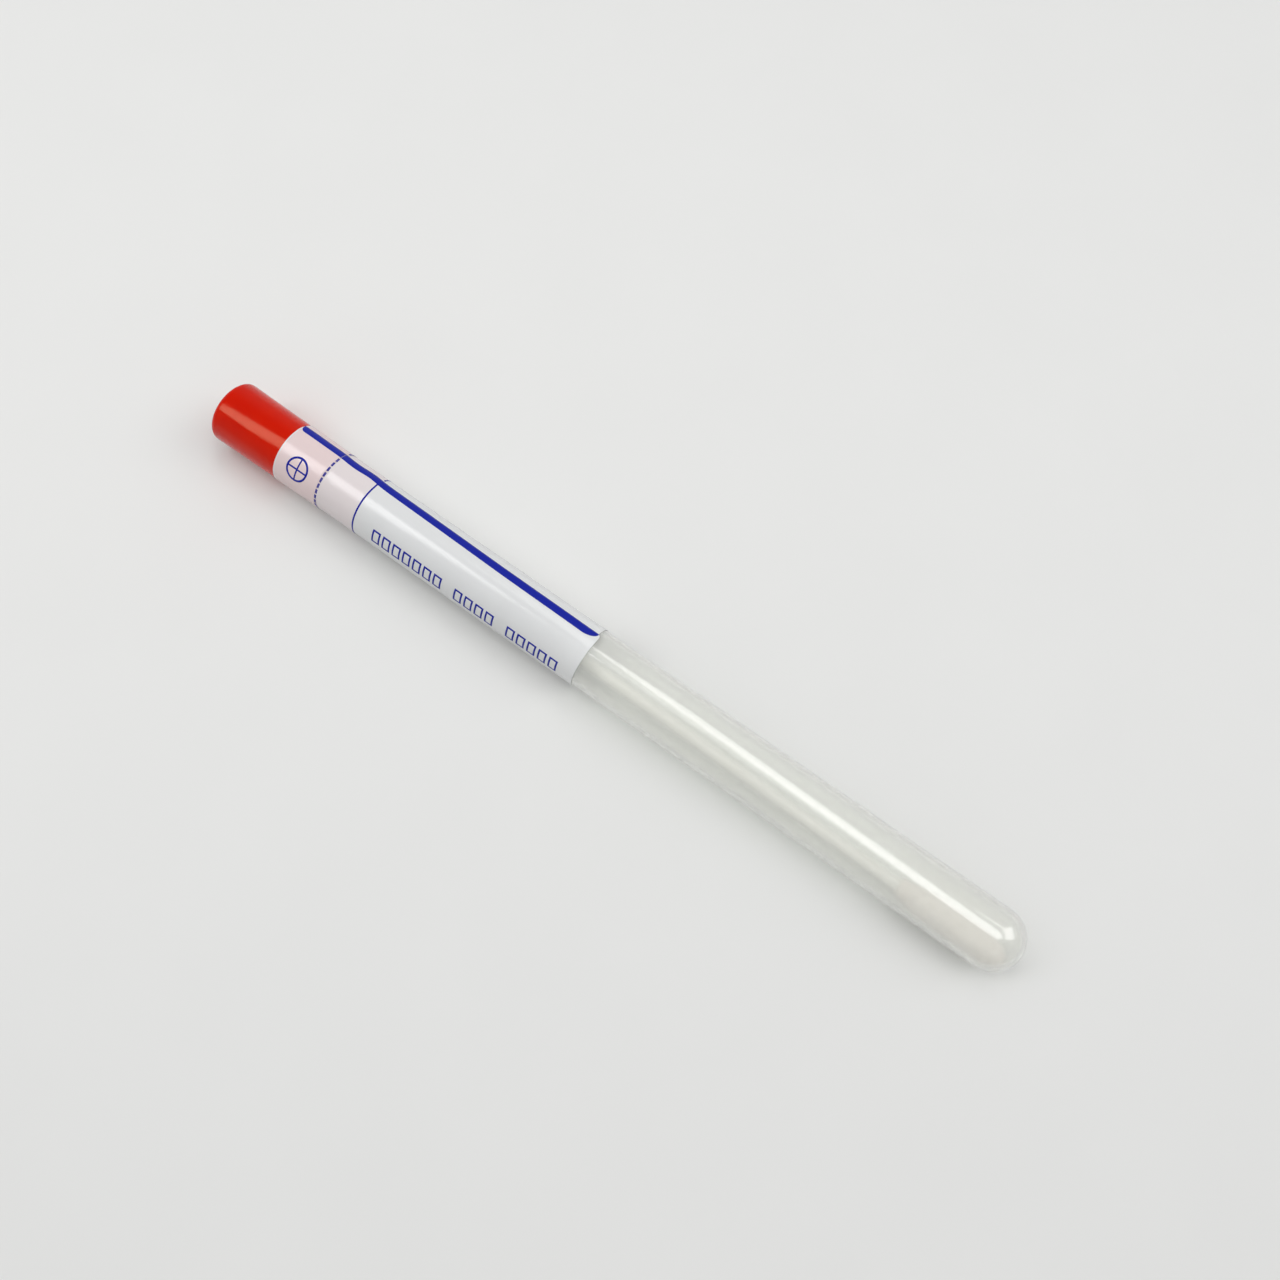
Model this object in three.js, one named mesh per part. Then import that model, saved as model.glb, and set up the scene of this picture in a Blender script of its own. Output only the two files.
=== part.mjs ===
// Specimen swab tube: a moulded tube with a round bottom, closed by a red stopper that carries a swab.
// Millimetres, +Z up. The tube lies on its side along X: the cap's closed end faces -X and the tube's
// round bottom +X. The origin is on the table under the middle of the object.
//
// Places along the object are given as a station, the distance from the cap's closed end.

import * as THREE from 'three';

// ---------------------------------------------------------------- sizes

// tube
const tubeDiameter = 12.0;
const tubeWall = 0.9;
const tubeLength = 154.5;
const lipChamfer = 0.2;
const gateDimpleDiameter = 2.4;
const gateDimpleDepth = 0.25;

// cap: the grip outside, the plug inside the tube's mouth, the socket for the stick
const gripLength = 26.75;
const gripEndDiameter = 12.9;
const gripMouthDiameter = 12.15;
const gripEdgeRadius = 1.1;
const capEndWall = 1.8;
const coreDraft = 0.25;
const plugLength = 9.3;
const plugWall = 1.0;
const plugChamfer = 0.5;
const ribHeight = 0.15;
const ribLength = 0.8;
const ribCount = 2;
const ribRampShare = 0.3;
const bossWall = 1.15;
const bossLength = 14.0;
const socketDepth = 12.5;
const socketLead = 0.3;

// swab
const stickDiameter = 2.5;
const stickChamfer = 0.3;
const budDiameter = 5.2;
const budLength = 21.5;
const budTipLength = 4.2;
const budShoulderLength = 4.5;
const budShoulderFullness = 1.2;
const budCollar = 0.35;
const budTipCover = 3.0;
const leanBelowLevel = THREE.MathUtils.degToRad(20);

// label: one film wound a full turn with a lap, perforated where the cap meets the tube
const tabLength = 10.5;
const labelLength = 61.9;
const labelThickness = 0.08;
const labelLap = 2.0;
const labelRamp = 0.6;
const labelCornerRadius = 1.0;
const labelEdgeAtStart = THREE.MathUtils.degToRad(46.5);
const labelSkew = THREE.MathUtils.degToRad(1.03);
const perforationGap = 0.12;

// print
const printThickness = 0.04;
const stripeWidth = 1.75;
const stripeMargin = 0.12;
const stripeEndMargin = 0.48;
const stripeTaper = 3.0;
const stripeTipWidth = 0.1;
const lineWidth = 0.32;
const lineFromPerforation = 9.3;
const lineStop = 0.3;
const markDiameter = 4.9;
const markStroke = 0.42;
const markFromPerforation = 5.4;
const markFromEdge = 8.7;

// fits
const plugClearance = 0.08;
const seatClearance = 0.1;
const socketClearance = 0.06;
const budBoreClearance = 0.06;
const stickEndClearance = 0.2;
const budWallClearance = 0.15;
const budBottomClearance = 1.3;
const filmClearance = 0.04;
const printClearance = 0.03;

// fineness of the round shapes
const roundSides = 32;
const stickSides = 16;
const budSides = 24;
const arcSteps = 6;

// ---------------------------------------------------------------- sizes that follow

const tubeRadius = tubeDiameter / 2;
const boreRadius = tubeRadius - tubeWall;
const gripEndRadius = gripEndDiameter / 2;
const gripMouthRadius = gripMouthDiameter / 2;
const stickRadius = stickDiameter / 2;
const budRadius = budDiameter / 2;

const mouthStation = gripLength + seatClearance;
const domeStation = mouthStation + tubeLength - tubeRadius;
const gateRimAngle = Math.acos(gateDimpleDiameter / tubeDiameter);
const gateRimStation = domeStation + tubeRadius * Math.sin(gateRimAngle);
const perforationStation = gripLength + seatClearance / 2;
const labelStart = perforationStation - tabLength;
const labelEnd = perforationStation + labelLength;

// A round piece stands on a flat of its outline, which lies a little inside its radius.
const flatOfRound = Math.cos(Math.PI / roundSides);
const axisHeight = Math.max(gripEndRadius, tubeRadius) * flatOfRound;
const middleStation = gateRimStation / 2;

// ---------------------------------------------------------------- materials

const finish = (color, roughness) => new THREE.MeshStandardMaterial({ color, roughness, metalness: 0 });

const hazyPolypropylene = new THREE.MeshStandardMaterial({
  color: 0xe9ebe6, roughness: 0.3, metalness: 0, transparent: true, opacity: 0.35,
});
const redPolyethylene = finish(0xd02a12, 0.38);
const whiteStyrene = finish(0xf0efe9, 0.35);
const cotton = finish(0xece3d8, 0.95);
const labelFilm = finish(0xe6e5e8, 0.45);
const navyInk = finish(0x25309c, 0.45);

// ---------------------------------------------------------------- shapes

const object = new THREE.Group();
object.position.set(-middleStation, 0, axisHeight);

function add(name, geometry, material) {
  const mesh = new THREE.Mesh(geometry, material);
  mesh.name = name;
  object.add(mesh);
}

// A quarter or half of a circle as [radius, station] points, both ends included.
function arc(radiusCentre, stationCentre, size, from, to) {
  const points = [];
  for (let i = 0; i <= arcSteps; i += 1) {
    const angle = from + (to - from) * i / arcSteps;
    points.push([radiusCentre + size * Math.cos(angle), stationCentre + size * Math.sin(angle)]);
  }
  return points;
}

// A turned solid along X from a profile of [radius, station] points. The profile runs from the axis to
// the axis, with the outer wall taken towards larger stations. A flat of the outline faces down.
function turned(profile, sides) {
  const points = profile.map(([radius, station]) => new THREE.Vector2(Math.max(radius, 0), station));
  points[0].x = 0;
  points[points.length - 1].x = 0;
  const geometry = new THREE.LatheGeometry(points, sides, Math.PI / sides);
  geometry.rotateZ(-Math.PI / 2);
  return geometry;
}

// ---------------------------------------------------------------- tube

function tube() {
  const dimpleFloor = gateRimStation - gateDimpleDepth;
  return turned([
    ...arc(0, domeStation, boreRadius, Math.PI / 2, 0),
    [boreRadius, mouthStation + lipChamfer],
    [boreRadius + lipChamfer, mouthStation],
    [tubeRadius - lipChamfer, mouthStation],
    [tubeRadius, mouthStation + lipChamfer],
    ...arc(0, domeStation, tubeRadius, 0, gateRimAngle),
    [gateDimpleDiameter / 2 - gateDimpleDepth, dimpleFloor],
    [0, dimpleFloor],
  ], roundSides);
}

// ---------------------------------------------------------------- cap

const plugRadius = boreRadius - plugClearance;
const plugEnd = gripLength + plugLength;
const bossEnd = capEndWall + bossLength;
const socketBottom = bossEnd - socketDepth;
const socketRadius = stickRadius + socketClearance;
const bossRadius = socketRadius + bossWall;

// The radius of the drafted grip at a station.
function gripRadius(station) {
  const share = (station - gripEdgeRadius) / (gripLength - gripEdgeRadius);
  return THREE.MathUtils.lerp(gripEndRadius, gripMouthRadius, THREE.MathUtils.clamp(share, 0, 1));
}

function cap() {
  const plugBodyRadius = plugRadius - ribHeight;
  const ribPitch = plugLength / (ribCount + 1);
  const ribs = [];
  for (let i = 1; i <= ribCount; i += 1) {
    const start = gripLength + ribPitch * i - ribLength / 2;
    ribs.push(
      [plugBodyRadius, start],
      [plugRadius, start + ribLength * ribRampShare],
      [plugRadius, start + ribLength * (1 - ribRampShare)],
      [plugBodyRadius, start + ribLength],
    );
  }
  const plugBore = plugBodyRadius - plugWall;
  return turned([
    [0, 0],
    ...arc(gripEndRadius - gripEdgeRadius, gripEdgeRadius, gripEdgeRadius, -Math.PI / 2, 0),
    [gripMouthRadius, gripLength],
    [plugBodyRadius, gripLength],
    ...ribs,
    [plugBodyRadius, plugEnd - plugChamfer],
    [plugBodyRadius - plugChamfer, plugEnd],
    [plugBore, plugEnd],
    [plugBore - coreDraft, capEndWall],
    [bossRadius, capEndWall],
    [bossRadius, bossEnd],
    [socketRadius + socketLead, bossEnd],
    [socketRadius, bossEnd - socketLead],
    [socketRadius, socketBottom],
    [0, socketBottom],
  ], roundSides);
}

// ---------------------------------------------------------------- swab

const budEnd = domeStation + boreRadius - budBottomClearance;
const budStart = budEnd - budLength;
const budFullEnd = budEnd - budTipLength;
const stickStart = socketBottom + stickEndClearance;
const stickEnd = budEnd - budTipCover;
const leanAtBud = boreRadius * flatOfRound - budRadius - budWallClearance;
const leanSlope = leanAtBud / (budFullEnd - bossEnd);

// Past its socket the stick leans until the bud lies against the bore.
function lean(geometry) {
  const place = geometry.getAttribute('position');
  for (let i = 0; i < place.count; i += 1) {
    const sideways = leanSlope * Math.max(place.getX(i) - bossEnd, 0);
    place.setY(i, place.getY(i) - sideways * Math.cos(leanBelowLevel));
    place.setZ(i, place.getZ(i) - sideways * Math.sin(leanBelowLevel));
  }
  return geometry;
}

function swabStick() {
  return lean(turned([
    [0, stickStart],
    [stickRadius - stickChamfer, stickStart],
    [stickRadius, stickStart + stickChamfer],
    [stickRadius, bossEnd],
    [stickRadius, stickEnd - stickChamfer],
    [stickRadius - stickChamfer, stickEnd],
    [0, stickEnd],
  ], stickSides));
}

function cottonBud() {
  const boreOfBud = stickRadius + budBoreClearance;
  const boreEnd = stickEnd + stickEndClearance;
  const collarRadius = boreOfBud + budCollar;
  const shoulder = [];
  const tip = [];
  for (let i = 0; i <= arcSteps; i += 1) {
    const share = i / arcSteps;
    const swell = Math.sin(share * Math.PI / 2) ** budShoulderFullness;
    const radius = collarRadius + (budRadius - collarRadius) * swell;
    shoulder.push([radius, budStart + budShoulderLength * share]);
    const angle = share * Math.PI / 2;
    tip.push([budRadius * Math.cos(angle), budFullEnd + budTipLength * Math.sin(angle)]);
  }
  return lean(turned([
    [0, boreEnd],
    [boreOfBud, boreEnd],
    [boreOfBud, budStart],
    ...shoulder,
    ...tip,
  ], budSides));
}

// ---------------------------------------------------------------- label

const skewPerLength = Math.tan(labelSkew) / tubeRadius;

// The angle of the label's visible long edge, from straight up towards +Y.
function edgeAngle(station) {
  return labelEdgeAtStart - (station - labelStart) * skewPerLength;
}

// The radius of what the label is stuck to.
function carrierRadius(station) {
  return station < perforationStation ? gripRadius(station) : tubeRadius;
}

const wholeTurn = Math.PI * 2;
const lapAngle = labelLap / tubeRadius;
const rampAngle = labelRamp / tubeRadius;

// The radius of the label's inner face. The turn is the angle wound off from the visible edge: the
// film starts on top of its own far end, comes down a ramp, and ends one lap past a whole turn.
function filmRadius(turn, station) {
  const onTop = THREE.MathUtils.clamp((lapAngle + rampAngle - turn) / rampAngle, 0, 1);
  const layer = labelThickness + filmClearance;
  return carrierRadius(station) + filmClearance + layer * onTop;
}

function printRadius(turn, station) {
  return filmRadius(turn, station) + labelThickness + printClearance;
}

// A point over the carrier, at a turn and a station.
function wound(turn, station, radius) {
  const angle = edgeAngle(station) - turn;
  return new THREE.Vector3(station, radius * Math.sin(angle), radius * Math.cos(angle));
}

// A thin sheet wound round the carrier: rows of stations, each from one turn to another. Its flats are
// short enough to dip by no more than half of its clearance.
function sheet(stations, fromTurn, toTurn, innerRadius, thickness, clearance) {
  const widest = Math.max(...stations.map((station) => toTurn(station) - fromTurn(station)));
  const flat = 2 * Math.acos(1 - clearance / 2 / Math.max(gripEndRadius, tubeRadius));
  const steps = Math.ceil(widest / flat);
  const rows = stations.length - 1;
  const geometry = new THREE.BoxGeometry(1, 1, 1, rows, steps, 1);
  const place = geometry.getAttribute('position');
  for (let i = 0; i < place.count; i += 1) {
    const station = stations[Math.round((place.getX(i) + 0.5) * rows)];
    const share = 0.5 - place.getY(i);
    const turn = fromTurn(station) + (toTurn(station) - fromTurn(station)) * share;
    const radius = innerRadius(turn, station) + (place.getZ(i) + 0.5) * thickness;
    place.setXYZ(i, ...wound(turn, station, radius).toArray());
  }
  return geometry;
}

// Stations from one end to the other, close together in a rounded stretch at each end that has one.
function rows(start, end, step, startRound, endRound) {
  const shares = [0, 0.08, 0.3, 0.6];
  const from = start + startRound;
  const to = end - endRound;
  const count = Math.max(Math.ceil((to - from) / step), 1);
  const list = [];
  if (startRound > 0) shares.forEach((share) => list.push(start + startRound * share));
  for (let i = 0; i <= count; i += 1) list.push(from + (to - from) * i / count);
  if (endRound > 0) shares.reverse().forEach((share) => list.push(end - endRound * share));
  return list;
}

// How far a rounded corner draws an edge back, at a distance from the sheet's end.
function cornerInset(distance, radius) {
  const inside = Math.max(radius - distance, 0);
  return radius - Math.sqrt(radius * radius - inside * inside);
}

const rowStep = 12;
const tabEnd = perforationStation - perforationGap / 2;
const filmStart = perforationStation + perforationGap / 2;
const lastTurn = wholeTurn + lapAngle;

function label() {
  const cornered = (station) => cornerInset(labelEnd - station, labelCornerRadius) / tubeRadius;
  const stations = rows(filmStart, labelEnd, rowStep, 0, labelCornerRadius);
  return sheet(stations, cornered, () => lastTurn, filmRadius, labelThickness, filmClearance);
}

function sealTab() {
  const cornered = (station) => cornerInset(station - labelStart, labelCornerRadius) / tubeRadius;
  const stations = rows(labelStart, tabEnd, rowStep, labelCornerRadius, 0);
  return sheet(stations, cornered, () => lastTurn, filmRadius, labelThickness, filmClearance);
}

// ---------------------------------------------------------------- print

const stripeEdge = stripeMargin / tubeRadius;

function stripe(start, end, startTaper, endTaper) {
  const inset = (station) => {
    const atStart = startTaper > 0 ? cornerInset(station - start, startTaper) / startTaper : 0;
    const atEnd = endTaper > 0 ? cornerInset(end - station, endTaper) / endTaper : 0;
    return (stripeWidth - stripeTipWidth) * Math.max(atStart, atEnd);
  };
  const lower = (station) => stripeEdge + (stripeWidth - inset(station)) / tubeRadius;
  const stations = rows(start, end, rowStep, startTaper, endTaper);
  return sheet(stations, () => stripeEdge, lower, printRadius, printThickness, printClearance);
}

function cutLine() {
  const station = perforationStation + lineFromPerforation;
  const from = stripeEdge + (stripeWidth + lineStop) / tubeRadius;
  const to = wholeTurn - lineStop / tubeRadius;
  const stations = [station - lineWidth / 2, station + lineWidth / 2];
  return sheet(stations, () => from, () => to, printRadius, printThickness, printClearance);
}

// A plain ring printed on the tab, bent onto the grip.
function ringMark() {
  const outer = markDiameter / 2;
  const inner = outer - markStroke;
  const section = [[inner, 0], [outer, 0], [outer, printThickness], [inner, printThickness], [inner, 0]];
  const geometry = new THREE.LatheGeometry(section.map(([r, h]) => new THREE.Vector2(r, h)), roundSides);
  const place = geometry.getAttribute('position');
  for (let i = 0; i < place.count; i += 1) {
    const station = perforationStation - markFromPerforation + place.getX(i);
    const turn = (markFromEdge + place.getZ(i)) / tubeRadius;
    const radius = printRadius(turn, station) + place.getY(i);
    place.setXYZ(i, ...wound(turn, station, radius).toArray());
  }
  return geometry;
}

// ---------------------------------------------------------------- the object

add('tube', tube(), hazyPolypropylene);
add('cap', cap(), redPolyethylene);
add('swab_stick', swabStick(), whiteStyrene);
add('cotton_bud', cottonBud(), cotton);
add('label', label(), labelFilm);
add('seal_tab', sealTab(), labelFilm);
add('label_stripe', stripe(filmStart, labelEnd - stripeEndMargin, 0, stripeTaper), navyInk);
add('tab_stripe', stripe(labelStart + stripeMargin, tabEnd, labelCornerRadius, 0), navyInk);
add('cut_line', cutLine(), navyInk);
add('ring_mark', ringMark(), navyInk);

export default object;
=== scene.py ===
import math
import random

import bmesh
import bpy
from mathutils import Matrix, Vector, noise


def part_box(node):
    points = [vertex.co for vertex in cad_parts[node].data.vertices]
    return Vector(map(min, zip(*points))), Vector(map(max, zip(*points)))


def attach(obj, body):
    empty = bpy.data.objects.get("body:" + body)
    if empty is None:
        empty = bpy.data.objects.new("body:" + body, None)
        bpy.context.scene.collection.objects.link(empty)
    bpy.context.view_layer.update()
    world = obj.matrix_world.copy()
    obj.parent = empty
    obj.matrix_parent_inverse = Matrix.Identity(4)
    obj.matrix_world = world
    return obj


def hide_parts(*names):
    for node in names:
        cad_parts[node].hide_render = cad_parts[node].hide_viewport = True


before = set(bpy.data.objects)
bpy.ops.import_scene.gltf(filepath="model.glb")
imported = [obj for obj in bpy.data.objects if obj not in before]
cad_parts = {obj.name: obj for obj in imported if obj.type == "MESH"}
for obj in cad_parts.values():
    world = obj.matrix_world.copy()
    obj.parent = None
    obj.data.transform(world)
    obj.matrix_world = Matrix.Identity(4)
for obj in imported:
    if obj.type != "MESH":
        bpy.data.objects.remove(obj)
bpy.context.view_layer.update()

# ---------------------------------------------------------------- tube
# The tube is one injection moulding of natural polypropylene: an even wall, an open mouth and a round bottom
# with the small dimple of its gate. The resin is left undyed, so the wall is milky and lets light through.

MM = 0.001
tube_low, tube_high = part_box("tube")
AXIS_HEIGHT = (tube_low.z + tube_high.z) / 2
MOUTH = tube_low.x
TUBE_RADIUS = 6.0 * MM
TUBE_WALL = 0.9 * MM
LIP_ROUND = 0.25 * MM
LIP_STEPS = 4
GATE_RADIUS = 1.2 * MM
GATE_DEPTH = 0.25 * MM
GATE_LEDGE = 0.35 * MM
BORE_RADIUS = TUBE_RADIUS - TUBE_WALL
GATE_RIM_ANGLE = math.acos(GATE_RADIUS / TUBE_RADIUS)
BOTTOM_CENTRE = tube_high.x - TUBE_RADIUS * math.sin(GATE_RIM_ANGLE)
BOTTOM_STEPS = 24
TUBE_SIDES = 128
HAZE_SIZE = 4 * MM
FLOW_LINE_WIDTH = 0.9 * MM
FLOW_LINE_STRETCH = 0.03
ROUNDING_STEPS = 10
SECTION_WELD = 0.002 * MM
SKIN_WELD = 0.001 * MM


def section(mesh, corners):
    """Half of a turned piece's section, as (place along the axis, radius, length rounded off) corners."""
    line = [mesh.verts.new((x, 0, AXIS_HEIGHT + radius)) for x, radius, _ in corners]
    for start, end in zip(line, line[1:]):
        mesh.edges.new((start, end))
    for corner, (_, _, rounding) in zip(line, corners):
        if rounding:
            bmesh.ops.bevel(
                mesh, geom=[corner], offset=rounding, offset_type="OFFSET",
                segments=ROUNDING_STEPS, profile=0.5, affect="VERTICES", material=-1,
            )


def turn(mesh, sides):
    """Spins a section round the object's axis and closes the shell at its poles and seam."""
    bmesh.ops.remove_doubles(mesh, verts=mesh.verts, dist=SECTION_WELD)
    bmesh.ops.spin(
        mesh, geom=mesh.verts[:] + mesh.edges[:], cent=(0, 0, AXIS_HEIGHT), axis=(1, 0, 0),
        angle=math.tau, steps=sides, use_merge=True,
    )
    bmesh.ops.remove_doubles(mesh, verts=mesh.verts, dist=SKIN_WELD)
    bmesh.ops.recalc_face_normals(mesh, faces=mesh.faces)


def shaded(mesh, sharpest=35):
    """Smooth shading, with the edges that turn more than the given degrees left sharp."""
    for face in mesh.faces:
        face.smooth = True
    for edge in mesh.edges:
        edge.smooth = edge.calc_face_angle(0) < math.radians(sharpest)


def put(name, mesh, material):
    """Puts a finished mesh in the scene, in its material."""
    data = bpy.data.meshes.new(name)
    mesh.to_mesh(data)
    mesh.free()
    data.materials.append(material)
    made = bpy.data.objects.new(name, data)
    bpy.context.scene.collection.objects.link(made)
    return made


def piece(name, mesh, material, body, slot, *nodes):
    """Puts a finished mesh on its body, in place of the plain solids that it stands for."""
    made = put(name, mesh, material)
    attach(made, body)
    if nodes:
        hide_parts(*nodes)
    return made


def linear(code):
    """An sRGB hex colour as the linear RGBA that a shader takes."""
    shares = [int(code[i:i + 2], 16) / 255 for i in (1, 3, 5)]
    return [s / 12.92 if s <= 0.04045 else ((s + 0.055) / 1.055) ** 2.4 for s in shares] + [1]


def new_material(name):
    material = bpy.data.materials.new(name)
    material.use_nodes = True
    material.node_tree.nodes.clear()
    return material


def add(owner, kind, sockets, **settings):
    """Adds a node with its settings. A socket takes a plain value or another node's output."""
    made = owner.node_tree.nodes.new(kind)
    for setting, value in settings.items():
        setattr(made, setting, value)
    for socket, value in sockets.items():
        if isinstance(value, bpy.types.NodeSocket):
            owner.node_tree.links.new(value, made.inputs[socket])
        else:
            made.inputs[socket].default_value = value
    return made


def natural_polypropylene():
    """Undyed polypropylene, moulded in a polished tool: hazy right through, with a sharp gloss on its skin
    and faint flow lines along it. Light on its way to what lies inside or under it goes straight through."""
    made = new_material("natural_polypropylene")
    place = add(made, "ShaderNodeTexCoord", {}).outputs["Object"]
    along = add(made, "ShaderNodeMapping", {
        "Vector": place, "Scale": (FLOW_LINE_STRETCH, 1, 1),
    }).outputs["Vector"]
    haze = add(made, "ShaderNodeTexNoise", {"Vector": place, "Scale": 1 / HAZE_SIZE, "Detail": 3})
    flow = add(made, "ShaderNodeTexNoise", {"Vector": along, "Scale": 1 / FLOW_LINE_WIDTH, "Detail": 2})
    colour = add(made, "ShaderNodeMix", {
        "Factor": haze.outputs["Fac"], "A": linear("#FDFDF9"), "B": linear("#FEFEFC"),
    }, data_type="RGBA")
    roughness = add(made, "ShaderNodeMapRange", {
        "Value": haze.outputs["Fac"], "To Min": 0.2, "To Max": 0.26,
    })
    relief = add(made, "ShaderNodeBump", {
        "Height": flow.outputs["Fac"], "Strength": 0.02, "Distance": 0.02 * MM,
    })
    skin = add(made, "ShaderNodeBsdfPrincipled", {
        "Base Color": colour.outputs["Result"], "Roughness": roughness.outputs["Result"],
        "IOR": 1.49, "Transmission Weight": 0.85,
        "Coat Weight": 1.0, "Coat Roughness": 0.06, "Coat IOR": 1.49,
        "Coat Normal": relief.outputs["Normal"],
    })
    path = add(made, "ShaderNodeLightPath", {})
    light_on_its_way = add(made, "ShaderNodeMath", {
        0: path.outputs["Is Shadow Ray"], 1: path.outputs["Is Diffuse Ray"],
    }, operation="MAXIMUM")
    lamplight = add(made, "ShaderNodeBsdfTransparent", {"Color": linear("#F6F7F5")})
    wall = add(made, "ShaderNodeMixShader", {
        0: light_on_its_way.outputs[0], 1: skin.outputs["BSDF"], 2: lamplight.outputs["BSDF"],
    })
    add(made, "ShaderNodeOutputMaterial", {"Surface": wall.outputs["Shader"]})
    return made


def round_bottom(mesh, radius, last_angle):
    """The section of a round bottom, swept from the wall to the angle where it ends."""
    start = mesh.verts.new((BOTTOM_CENTRE, 0, AXIS_HEIGHT + radius))
    swept = bmesh.ops.spin(
        mesh, geom=[start], cent=(BOTTOM_CENTRE, 0, AXIS_HEIGHT), axis=(0, 1, 0),
        angle=last_angle, steps=BOTTOM_STEPS,
    )
    end = [v for v in swept["geom_last"] if isinstance(v, bmesh.types.BMVert)][0]
    return start, end


tube = bmesh.new()
outer_start, gate_rim = round_bottom(tube, TUBE_RADIUS, GATE_RIM_ANGLE)
inner_start, _ = round_bottom(tube, BORE_RADIUS, math.pi / 2)
lip = [
    tube.verts.new((MOUTH, 0, AXIS_HEIGHT + TUBE_RADIUS)),
    tube.verts.new((MOUTH, 0, AXIS_HEIGHT + BORE_RADIUS)),
]
tube.edges.new((outer_start, lip[0]))
tube.edges.new(lip)
tube.edges.new((lip[1], inner_start))
gate_floor = [
    tube.verts.new((gate_rim.co.x - GATE_DEPTH, 0, AXIS_HEIGHT + GATE_RADIUS - GATE_LEDGE)),
    tube.verts.new((gate_rim.co.x - GATE_DEPTH, 0, AXIS_HEIGHT)),
]
tube.edges.new((gate_rim, gate_floor[0]))
tube.edges.new(gate_floor)
bmesh.ops.bevel(
    tube, geom=lip, offset=LIP_ROUND, offset_type="OFFSET",
    segments=LIP_STEPS, profile=0.5, affect="VERTICES", material=-1,
)
turn(tube, TUBE_SIDES)
shaded(tube)
piece("tube_moulding", tube, natural_polypropylene(), "tube", "tube_polypropylene", "tube")

# ---------------------------------------------------------------- cap
# The cap is one moulding of red polyethylene. Its drafted grip stands on the tube's mouth, its ribbed plug
# seals the bore, and the boss inside holds the swab. The gate was at the middle of its closed end.

cap_low, cap_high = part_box("cap")
CAP_END = cap_low.x
SEAT_GAP = 0.1 * MM
GRIP_MOUTH = MOUTH - SEAT_GAP
PLUG_END = cap_high.x
GRIP_END_RADIUS = 6.45 * MM
GRIP_MOUTH_RADIUS = 6.075 * MM
GRIP_ROUND = 1.1 * MM
GRIP_MOUTH_ROUND = 0.12 * MM
END_RECESS_RADIUS = 3.6 * MM
END_RECESS = 0.3 * MM
END_RECESS_ROUND = 0.12 * MM
GATE_PIN_RADIUS = 0.8 * MM
GATE_PIN_HEIGHT = 0.2 * MM
GATE_PIN_ROUND = 0.1 * MM
GATE_PIN_FILLET = 0.05 * MM
PLUG_PLAY = 0.08 * MM
PLUG_RADIUS = BORE_RADIUS - PLUG_PLAY
PLUG_FILLET = 0.1 * MM
RIBS = 2
RIB_HEIGHT = 0.15 * MM
RIB_SQUEEZE = RIB_HEIGHT / 3
RIB_LENGTH = 0.8 * MM
RIB_CREST = RIB_LENGTH / 4
PLUG_CHAMFER = 0.5 * MM
PLUG_WALL = 1.0 * MM
PLUG_LIP_ROUND = 0.2 * MM
END_WALL = 1.8 * MM
CORE_DRAFT = 0.25 * MM
CORE_FILLET = 0.3 * MM
BOSS_RADIUS = 2.46 * MM
BOSS_LENGTH = 14.0 * MM
BOSS_ROUND = 0.2 * MM
SOCKET_RADIUS = 1.31 * MM
SOCKET_DEPTH = 12.5 * MM
SOCKET_LEAD_IN = 0.3 * MM
BOSS_END = CAP_END + END_WALL + BOSS_LENGTH
CAP_SIDES = 128
COOLING_CLOUD_SIZE = 5 * MM
DRAW_MARK_WIDTH = 0.35 * MM
DRAW_MARK_STRETCH = 0.12


def red_polyethylene():
    """Masterbatch-red polyethylene from a satin tool: a strong even red with a soft wide gloss, a little
    uneven where the melt cooled, and fine draw marks along the grip."""
    made = new_material("red_polyethylene")
    place = add(made, "ShaderNodeTexCoord", {}).outputs["Object"]
    along = add(made, "ShaderNodeMapping", {
        "Vector": place, "Scale": (DRAW_MARK_STRETCH, 1, 1),
    }).outputs["Vector"]
    cloud = add(made, "ShaderNodeTexNoise", {
        "Vector": place, "Scale": 1 / COOLING_CLOUD_SIZE, "Detail": 2,
    })
    marks = add(made, "ShaderNodeTexNoise", {"Vector": along, "Scale": 1 / DRAW_MARK_WIDTH, "Detail": 3})
    colour = add(made, "ShaderNodeMix", {
        "Factor": cloud.outputs["Fac"], "A": linear("#C40D00"), "B": linear("#CE1A00"),
    }, data_type="RGBA")
    roughness = add(made, "ShaderNodeMapRange", {
        "Value": marks.outputs["Fac"], "To Min": 0.1, "To Max": 0.15,
    })
    relief = add(made, "ShaderNodeBump", {
        "Height": marks.outputs["Fac"], "Strength": 0.1, "Distance": 0.02 * MM,
    })
    skin = add(made, "ShaderNodeBsdfPrincipled", {
        "Base Color": colour.outputs["Result"], "Roughness": roughness.outputs["Result"],
        "Normal": relief.outputs["Normal"], "IOR": 1.51, "Specular IOR Level": 0.25,
        "Specular Tint": linear("#FFDDB0"), "Subsurface Weight": 0.4,
        "Subsurface Radius": (1, 0.15, 0.05), "Subsurface Scale": 3 * MM,
    })
    add(made, "ShaderNodeOutputMaterial", {"Surface": skin.outputs["BSDF"]})
    return made


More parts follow.
